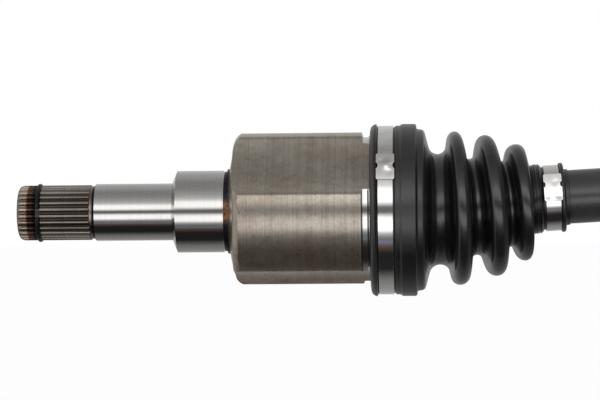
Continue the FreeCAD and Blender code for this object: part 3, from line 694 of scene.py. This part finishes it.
    # Boot rubber: shiny black bellows, and duller cuffs with a grey bloom
    black = tuple(settings.rubber_colour)
    bloom = tuple(channel * 1.5 for channel in black)
    rubbers = (("bellows_rubber", 0.19, 0.27, 0.12, 0.000014), ("cuff_rubber", 0.30, 0.42, 0.5, 0.000020))
    for name, rough, rough_end, scuffs, grain in rubbers:
        material, nodes, surface = new_material(name, 0.0, 0.8)
        skin = placed_group(nodes, "rubber skin")
        colour = nodes.mix(skin["Bloom"], black, bloom)
        colour = nodes.mix(nodes.maths("MULTIPLY", skin["Scuffs"], scuffs), colour, (0.035, 0.035, 0.034))
        nodes.join(colour, surface.inputs["Base Color"])
        nodes.join(nodes.span(skin["Bloom"], 0.0, 1.0, rough, rough_end), surface.inputs["Roughness"])
        set_bump(nodes, surface, skin["Height"], grain)


# Sizes and colours that a user may change

class ShaftSettings(bpy.types.PropertyGroup):
    """Colours and sizes of the shaft"""
    steel_colour: bpy.props.FloatVectorProperty(
        name="Housing steel", description="Colour of the housing's turned steel",
        subtype="COLOR", size=3, min=0.0, max=1.0, default=(0.44, 0.405, 0.355),
    )
    rubber_colour: bpy.props.FloatVectorProperty(
        name="Boot rubber", description="Colour of the boots",
        subtype="COLOR", size=3, min=0.0, max=1.0, default=(0.0055, 0.0057, 0.0056),
    )
    paint_colour: bpy.props.FloatVectorProperty(
        name="Bar paint", description="Colour of the paint on the bar",
        subtype="COLOR", size=3, min=0.0, max=1.0, default=(0.019, 0.019, 0.020),
    )
    boot_wall: bpy.props.FloatProperty(
        name="Boot wall", description="Thickness of the boots' folds",
        unit="LENGTH", min=0.0005, max=0.003, default=0.0015,
    )
    clamp_width: bpy.props.FloatProperty(
        name="Clamp width", description="Width of the boot clamps' bands",
        unit="LENGTH", min=0.004, max=0.008, default=0.0073,
    )
    thread_pitch: bpy.props.FloatProperty(
        name="Thread pitch", description="Pitch of the thread on the hub stub",
        unit="LENGTH", min=0.0005, max=0.003, default=0.0015,
    )
    thread_depth: bpy.props.FloatProperty(
        name="Thread depth", description="Depth of the thread on the hub stub",
        unit="LENGTH", min=0.0, max=0.001, default=0.00085,
    )


class StageSettings(bpy.types.PropertyGroup):
    """Places of the camera and the floor"""
    camera_distance: bpy.props.FloatProperty(
        name="Camera distance", description="How far the camera stands in front of the shaft",
        unit="LENGTH", min=0.5, max=5.0, default=1.317,
    )
    floor_drop: bpy.props.FloatProperty(
        name="Floor drop", description="How far the floor is below the shaft's axis",
        unit="LENGTH", min=0.05, max=1.0, default=0.25,
    )


# Operators

class FinishesBuild(bpy.types.Operator):
    """Make the finishes and give the hidden pieces theirs"""
    bl_idname = "shaft.finishes"
    bl_label = "Finishes"

    def execute(self, context):
        make_materials(context.scene.shaft_settings)
        finishes = {
            "spider": "forged_steel", "inner_race": "bearing_steel", "cage": "bearing_steel",
            "spider_clip": "ring_steel", "spider_stop_ring": "ring_steel", "race_clip": "ring_steel",
        }
        for name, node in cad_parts.items():
            finish = finishes.get(name)
            if name.startswith(("roller_clip", "roller_washer")):
                finish = "ring_steel"
            elif name.startswith(("roller", "needles", "ball")):
                finish = "bearing_steel"
            if finish:
                node.data.materials.clear()
                node.data.materials.append(bpy.data.materials[finish])
        return {"FINISHED"}


class HousingBuild(bpy.types.Operator):
    """Build the stub and three-lobed housing, its wire ring and the rubber bush"""
    bl_idname = "shaft.housing"
    bl_label = "Housing and stub"

    def execute(self, context):
        bm = merged_copy("tripod_housing")
        cut_off(bm, STUB_END + SPLINE_TO, -1)
        bmesh.ops.bisect_plane(
            bm, geom=list(bm.verts) + list(bm.edges) + list(bm.faces), dist=1e-8,
            plane_co=((STUB_END + GROUND_TO) * MM, 0, 0), plane_no=(1, 0, 0),
        )
        piece = finish_mesh(bm, "housing_and_stub", "housing_steel", 28)
        for finish in ("spline_steel", "ground_steel", "rusty_steel", "polished_steel"):
            piece.data.materials.append(bpy.data.materials[finish])
        for face in piece.data.polygons:
            distance = face.center.x / MM - STUB_END
            radius = math.hypot(face.center.y, face.center.z) / MM
            if distance < BEARING_FROM - 0.02:
                face.material_index = 1
            elif distance < GROUND_TO:
                face.material_index = 2
            elif distance < SHOULDER_FROM - 0.02:
                face.material_index = 3
            elif distance > SEAT_FROM + 0.1 and radius > 35.0:
                face.material_index = 4
            elif distance > BORE_FROM and face.normal.yz.dot(face.center.yz) < 0:
                face.material_index = 2
        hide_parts("tripod_housing")
        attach(piece, "housing")

        outline = [
            (0.0, STUB_TIP_R - STUB_END_BEVEL, 0.3), (0.0, STUB_TIP_R, 3.0), *RING_GROOVE,
            (SPLINE_TO - 0.3, STUB_TIP_R, 0), (SPLINE_TO, STUB_TIP_R - 0.3, 0), (SPLINE_TO, 0.0, 0),
        ]
        outline += [(place, radius, 0) for place, radius in CENTRE_HOLE]
        bm = spun(rounded(outline), STUB_TEETH * STEPS_PER_TOOTH)
        limit_radius(bm, tooth_radius(STUB_TIP_R, STUB_TEETH))
        bm.transform(HOUSING_PLACE)
        spline = finish_mesh(bm, "stub_spline", "spline_steel", 40)
        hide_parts("tripod_housing")
        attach(spline, "housing")

        bm = merged_copy("stub_ring")
        bm.transform(Matrix.Rotation(RING_TURN, 4, "X"))
        ring = finish_mesh(bm, "stub_wire_ring", "ring_steel", 50)
        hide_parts("stub_ring")
        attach(ring, "housing")

        bush = finish_mesh(merged_copy("boot_adapter"), "lobed_bush", "bellows_rubber", 40)
        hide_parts("boot_adapter")
        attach(bush, "housing")
        return {"FINISHED"}


class BarBuild(bpy.types.Operator):
    """Build the painted bar between the joints"""
    bl_idname = "shaft.bar"
    bl_label = "Bar"

    def execute(self, context):
        piece = finish_mesh(merged_copy("drive_bar"), "painted_bar", "black_paint", 28)
        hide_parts("drive_bar")
        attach(piece, "bar")
        return {"FINISHED"}


class InboardBootBuild(bpy.types.Operator):
    """Build the inboard boot in three lengths"""
    bl_idname = "shaft.inboard_boot"
    bl_label = "Inboard boot"

    def execute(self, context):
        rim = 172.6
        step = BELLOWS_FROM
        large = [
            (rim, ADAPTER_R, 0.3), (rim + 0.5, 42.0, 2.6), (rim + 3.5, 42.0, 1.3), (rim + 3.8, 40.4, 0.3),
            (rim + 11.8, 40.4, 0.3), (rim + 12.3, 41.2, 0.6), (rim + 14.6, 41.2, 0.6),
            (rim + 15.3, 42.0, 0.6), (step - 3.2, 42.0, 0.9), (step - 2.9, 39.6, 0.5),
            (step + 0.7, 39.0, 1.5),
        ]
        folds = [
            (step + 7.6, 27.0, 3.7, False), (step + 16.6, 37.5, 3.1, True),
            (step + 24.3, 23.5, 2.3, False), (step + 33.0, 34.5, 3.4, True),
            (step + 40.5, 21.0, 1.2, False), (step + 47.4, 28.5, 3.2, True),
        ]
        small_at = SMALL_CUFF_FROM
        neck = [(step + 52.6, 17.6, 0.5)]
        for number, height in enumerate((0.0, 0.45, 0.1, 0.65, 0.25, 0.5, 0.0, 0.55, 0.1)):
            neck.append((step + 53.3 + 0.5 * number, 16.5 + height, 0.22))
        small = neck + [
            (small_at + 2.2, 15.9, 0.2), (small_at + 2.4, 15.3, 0.2), (small_at + 10.8, 15.3, 0.2),
            (small_at + 11.0, 16.9, 0.7), (small_at + 13.0, 16.9, 0.9),
            (small_at + 13.2, BAR_R + 0.5, 0.3), (small_at + 15.1, BAR_R + 0.5, 0.2),
            (small_at + 15.2, BAR_R, 0),
        ]
        bore_large = [(rim + 20, ADAPTER_R, 0), (step - 3.0, 37.0, 0.5), (step + 1.0, 36.0, 0.8)]
        bore_small = [(step + 51.0, 15.5, 0.8), (small_at + 1.0, BAR_R, 0.5)]
        wall = context.scene.shaft_settings.boot_wall / MM
        outline = boot_outline(large, folds, small, bore_large, bore_small, wall, 1)
        seams = [rim - 1, step + 21.2, step + 33.0, small_at + 20]
        bellows = (step + 0.3, small_at + 1.9)
        parts = split_boot(spun(rounded(outline)), "inboard_boot_length", seams, bellows, bend_point)
        for part in parts:
            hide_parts("inboard_boot")

        bends = (
            ("housing", "sliding_boot", seams[1], -19.2, -0.05),
            ("sliding_boot", "top_needles", seams[1], 0.05, 11.6),
            ("top_needles", "bar", seams[2], 0.05, 9.8),
        )
        for part, (first, second, seam, start, end) in zip(parts, bends):
            middle, turn = line_at(seam)
            middle = HOUSING_PLACE @ middle
            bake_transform(part)
        return {"FINISHED"}


class OutboardBootBuild(bpy.types.Operator):
    """Build the outboard boot in four lengths"""
    bl_idname = "shaft.outboard_boot"
    bl_label = "Outboard boot"

    def execute(self, context):
        rim = JOINT_SPACING + 1.5
        bellows = rim - 23.0
        seat = 42.04
        band = 44.19
        large = [
            (-rim, seat, 0.3), (-rim, 45.8, 1.9), (-rim + 3.8, 45.8, 1.9), (-rim + 4.1, band, 0.3),
            (-rim + 12.7, band, 0.3), (-rim + 13.4, 45.1, 0.6), (-bellows - 5.4, 45.2, 0.5),
            (-bellows - 4.8, 45.8, 0.5), (-bellows - 2.6, 45.8, 0.8), (-bellows - 2.3, 43.4, 0.5),
            (-bellows + 0.7, 42.6, 1.4),
        ]
        folds = [
            (-bellows + 9.0, 32.5, 3.2, False), (-bellows + 18.0, 41.5, 3.6, True),
            (-bellows + 26.5, 27.5, 2.6, False), (-bellows + 35.0, 36.5, 3.7, True),
            (-bellows + 42.5, 23.0, 2.2, False), (-bellows + 50.0, 31.0, 3.4, True),
            (-bellows + 57.0, 19.0, 1.8, False), (-bellows + 63.5, 25.0, 2.9, True),
        ]
        small_at = -bellows + 70.5
        small = [
            (small_at - 1.5, 17.0, 0.8), (small_at + 2.0, 16.4, 0.3), (small_at + 2.2, 15.3, 0.2),
            (small_at + 11.1, 15.3, 0.2), (small_at + 11.4, 16.6, 0.4), (small_at + 14.5, 16.6, 0.8),
            (small_at + 14.7, BAR_R, 0.2),
        ]
        bore_large = [(-bellows - 5.0, seat, 0.5), (-bellows + 1.0, 38.5, 0.8)]
        bore_small = [(small_at - 2.0, 15.0, 0.8), (small_at + 1.0, BAR_R, 0.5)]
        wall = context.scene.shaft_settings.boot_wall / MM
        outline = boot_outline(large, folds, small, bore_large, bore_small, wall, -1)
        seams = [small_at * -1 - 20, bellows - 26.5, bellows - 22.5, bellows - 18.5, rim + 1]
        ends = (-small_at - 1.9, bellows - 0.3)
        parts = split_boot(
            spun(rounded(outline)), "outboard_boot_length", seams, ends, lambda point: BAR_PLACE @ point
        )
        bends = (
            ("bar", "top_ball", bellows - 42.5, seams[1] - 0.05),
            ("top_ball", "cage", seams[1] + 0.05, seams[2] - 0.05),
            ("cage", "bottom_ball", seams[2] + 0.05, seams[3] - 0.05),
            ("bottom_ball", "bell", seams[3] + 0.05, bellows - 0.5),
        )
        for part, (first, second, start, end) in zip(parts, bends):
            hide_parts("outboard_boot")
            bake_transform(part)
        return {"FINISHED"}


class ClampsBuild(bpy.types.Operator):
    """Build the four boot clamps"""
    bl_idname = "shaft.clamps"
    bl_label = "Clamps"

    def execute(self, context):
        clamps = (
            ("inboard_large", 40.4, 176.6, LARGE_LOCK, HOUSING_PLACE, "housing"),
            ("inboard_small", 15.3, 95.9, SMALL_LOCK, BAR_PLACE, "bar"),
            ("outboard_large", 44.19, 319.55, LARGE_LOCK, BAR_PLACE, "bell"),
            ("outboard_small", 15.3, 227.65, SMALL_LOCK, BAR_PLACE, "bar"),
        )
        band_width = context.scene.shaft_settings.clamp_width / MM
        for name, band_r, start, lock, place, body in clamps:
            bm = clamp_mesh(band_r, start, band_width, lock)
            bm.transform(place)
            piece = finish_mesh(bm, name + "_band_and_lock", "band_steel", 40)
            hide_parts(name + "_clamp")
            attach(piece, body)
        return {"FINISHED"}


class BellBuild(bpy.types.Operator):
    """Build the bell with its splined and threaded stub"""
    bl_idname = "shaft.bell"
    bl_label = "Bell and hub stub"

    def execute(self, context):
        bm = merged_copy("outboard_bell")
        inverse = BAR_PLACE.inverted()
        bm.transform(inverse)
        cut_off(bm, JOINT_SPACING + HUB_SPLINE_FROM, 1)
        bm.transform(BAR_PLACE)
        piece = finish_mesh(bm, "bell_and_stub", "forged_steel", 28)
        for finish in ("ground_steel", "housing_steel"):
            piece.data.materials.append(bpy.data.materials[finish])
        for face in piece.data.polygons:
            centre = inverse @ face.center
            distance = centre.x / MM - JOINT_SPACING
            radius = math.hypot(centre.y, centre.z) / MM
            if distance > 30.9 or radius < 35.0:
                face.material_index = 1 if radius < 31.5 and distance < 42.5 else 2
        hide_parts("outboard_bell")
        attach(piece, "bell")

        outline = [
            (HUB_SPLINE_FROM, 0.0, 0), (HUB_SPLINE_FROM, HUB_TIP_R, 0.2),
            (HUB_SPLINE_TO - 1.5, HUB_TIP_R, 0.3), (HUB_SPLINE_TO, HUB_TIP_R - 1.5, 0.3),
            (HUB_SPLINE_TO, 0.0, 0),
        ]
        bm = spun(rounded(outline), HUB_TEETH * STEPS_PER_TOOTH)
        limit_radius(bm, tooth_radius(HUB_TIP_R, HUB_TEETH))
        bm.transform(BAR_PLACE @ Matrix.Translation((JOINT_SPACING * MM, 0, 0)))
        spline = finish_mesh(bm, "hub_spline", "hub_spline_steel", 40)
        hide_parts("outboard_bell")
        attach(spline, "bell")

        pitch = context.scene.shaft_settings.thread_pitch / MM
        depth = context.scene.shaft_settings.thread_depth / MM
        steps = 132
        flank_from = THREAD_FROM + 1.0
        flank_to = THREAD_TO - 2.0
        outline = [(HUB_SPLINE_TO, 0.0), (HUB_SPLINE_TO, THREAD_RELIEF_R), (THREAD_FROM, THREAD_RELIEF_R)]
        for number in range(steps + 1):
            outline.append((flank_from + (flank_to - flank_from) * number / steps, THREAD_R))
        outline.append((THREAD_TO, THREAD_R - 2.0))
        outline += [(THREAD_TO - place, radius) for place, radius in reversed(CENTRE_HOLE)]

        def thread_radius(length, turn, radius):
            phase = (length / pitch - turn) % 1.0
            helix = THREAD_R - depth * (1 - abs(2 * phase - 1))
            return radius if radius < THREAD_RELIEF_R + 0.01 else helix

        bm = spun(outline, 64)
        limit_radius(bm, thread_radius)
        bm.transform(Matrix.Translation((JOINT_SPACING * MM, 0, 0)))
        bm.transform(BAR_PLACE)
        thread = finish_mesh(bm, "hub_thread", "housing_steel", 60)
        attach(thread, "bell")
        return {"FINISHED"}


class StageBuild(bpy.types.Operator):
    """Set up the floor, the studio light and the camera"""
    bl_idname = "shaft.stage"
    bl_label = "Stage"

    def execute(self, context):
        settings = context.scene.stage_settings
        scene = context.scene
        scene.view_settings.view_transform = "Standard"

        material = bpy.data.materials.new("pale_floor")
        material.use_nodes = True
        nodes = Nodes(material.node_tree)
        output = material.node_tree.nodes["Material Output"]
        surface = material.node_tree.nodes["Principled BSDF"]
        surface.inputs["Base Color"].default_value = (0.95, 0.95, 0.95, 1)
        surface.inputs["Roughness"].default_value = 0.9
        path = nodes.add("ShaderNodeLightPath")
        glow = nodes.add("ShaderNodeEmission", Color=(1, 1, 1, 1), Strength=1.0)
        share = nodes.maths("MULTIPLY", path.outputs["Is Camera Ray"], 0.62)
        blend = nodes.add("ShaderNodeMixShader", Fac=share)
        material.node_tree.links.new(surface.outputs[0], blend.inputs[1])
        material.node_tree.links.new(glow.outputs[0], blend.inputs[2])
        material.node_tree.links.new(blend.outputs[0], output.inputs["Surface"])
        bm = bmesh.new()
        bmesh.ops.create_grid(bm, x_segments=2, y_segments=2, size=14.0)
        bmesh.ops.translate(bm, verts=bm.verts, vec=(0.28, 0, -settings.floor_drop))
        mesh = bpy.data.meshes.new("floor")
        bm.to_mesh(mesh)
        bm.free()
        mesh.materials.append(material)
        floor = bpy.data.objects.new("floor", mesh)
        floor.visible_glossy = False
        scene.collection.objects.link(floor)

        world = bpy.data.worlds.new("studio")
        scene.world = world
        world.use_nodes = True
        tree = world.node_tree
        nodes = Nodes(tree)
        backdrop = tree.nodes["Background"]
        looking = nodes.add("ShaderNodeTexCoord").outputs["Generated"]
        direction = nodes.add("ShaderNodeSeparateXYZ", Vector=looking)
        front = nodes.maths("MULTIPLY", direction.outputs["Y"], -1.0)
        height = nodes.maths("ARCTAN2", direction.outputs["Z"], front)
        share = nodes.maths("ADD", nodes.maths("DIVIDE", height, 2 * math.pi), 0.5)
        # Half of the light from each angle of height: two long softboxes in front, dim elsewhere.
        levels = (
            (-180, 0.26), (-160, 0.22), (-140, 0.17), (-112, 0.12), (-97, 0.05), (-88, 0.01), (-60, 0.01),
            (-52, (0.045, 0.03, 0.025)), (-47, 0.07), (-44, (0.12, 0.125, 0.16)), (-40, 0.08),
            (-35, 0.16), (-31, 0.30), (-26, 0.85), (-12, 0.85), (-7, 0.45), (-3, 0.08), (5, 0.08),
            (9, 0.45), (14, 0.88), (27, 0.85), (34, 0.46), (42, 0.32), (50, 0.26), (63, 0.19),
            (76, 0.165), (92, 0.165), (110, 0.23), (132, 0.27), (158, 0.33), (180, 0.26),
        )
        pattern = nodes.ramp(share, [((angle + 180) / 360, level) for angle, level in levels])
        pattern = nodes.mix(1.0, pattern, (2.0, 2.0, 2.0), "MULTIPLY")
        pattern = nodes.mix(nodes.span(direction.outputs["X"], 0.6, 0.8), pattern, (0.15, 0.15, 0.15))
        pattern = nodes.mix(nodes.span(direction.outputs["X"], -0.7, -0.9), pattern, (0.8, 0.8, 0.8))
        path = nodes.add("ShaderNodeLightPath")
        plain = nodes.mix(path.outputs["Is Diffuse Ray"], pattern, (1.1, 1.1, 1.1))
        white = nodes.mix(path.outputs["Is Camera Ray"], plain, (1.0, 1.0, 1.0))
        tree.links.new(white, backdrop.inputs["Color"])
        backdrop.inputs["Strength"].default_value = 1.0

        camera_data = bpy.data.cameras.new("camera")
        camera = bpy.data.objects.new("camera", camera_data)
        scene.collection.objects.link(camera)
        scene.camera = camera
        distance = settings.camera_distance
        stands_at = Vector((0.176, -distance, 0.0053))
        looks_at = Vector((0.1145, 0, 0.0053))
        aim = (looks_at - stands_at).to_track_quat("-Z", "Y").to_matrix().to_4x4()
        roll = Matrix.Rotation(math.radians(-0.48), 4, "Z")
        camera.matrix_world = Matrix.Translation(stands_at) @ aim @ roll
        frame_width = 0.2934
        camera_data.lens = camera_data.sensor_width * distance / frame_width
        camera_data.clip_end = 100.0
        return {"FINISHED"}


class ShaftPanel(bpy.types.Panel):
    """Lists the settings and the steps that build the shaft"""
    bl_idname = "VIEW3D_PT_drive_shaft"
    bl_label = "Drive shaft"
    bl_space_type = "VIEW_3D"
    bl_region_type = "UI"
    bl_category = "Drive shaft"

    def draw(self, context):
        layout = self.layout
        shaft = context.scene.shaft_settings
        stage = context.scene.stage_settings
        for name in (
            "steel_colour", "rubber_colour", "paint_colour",
            "boot_wall", "clamp_width", "thread_pitch", "thread_depth",
        ):
            layout.prop(shaft, name)
        for name in ("camera_distance", "floor_drop"):
            layout.prop(stage, name)
        for step in STEPS:
            layout.operator(step.bl_idname)


STEPS = (
    FinishesBuild, HousingBuild, BarBuild, InboardBootBuild, OutboardBootBuild, ClampsBuild, BellBuild,
    StageBuild,
)
CLASSES = (ShaftSettings, StageSettings) + STEPS + (ShaftPanel,)


def register():
    for item in CLASSES:
        bpy.utils.register_class(item)
    bpy.types.Scene.shaft_settings = bpy.props.PointerProperty(type=ShaftSettings)
    bpy.types.Scene.stage_settings = bpy.props.PointerProperty(type=StageSettings)


def unregister():
    del bpy.types.Scene.stage_settings
    del bpy.types.Scene.shaft_settings
    for item in reversed(CLASSES):
        bpy.utils.unregister_class(item)


def main():
    register()
    for step in STEPS:
        group, name = step.bl_idname.split(".")
        getattr(getattr(bpy.ops, group), name)()


if __name__ == "__main__":
    main()
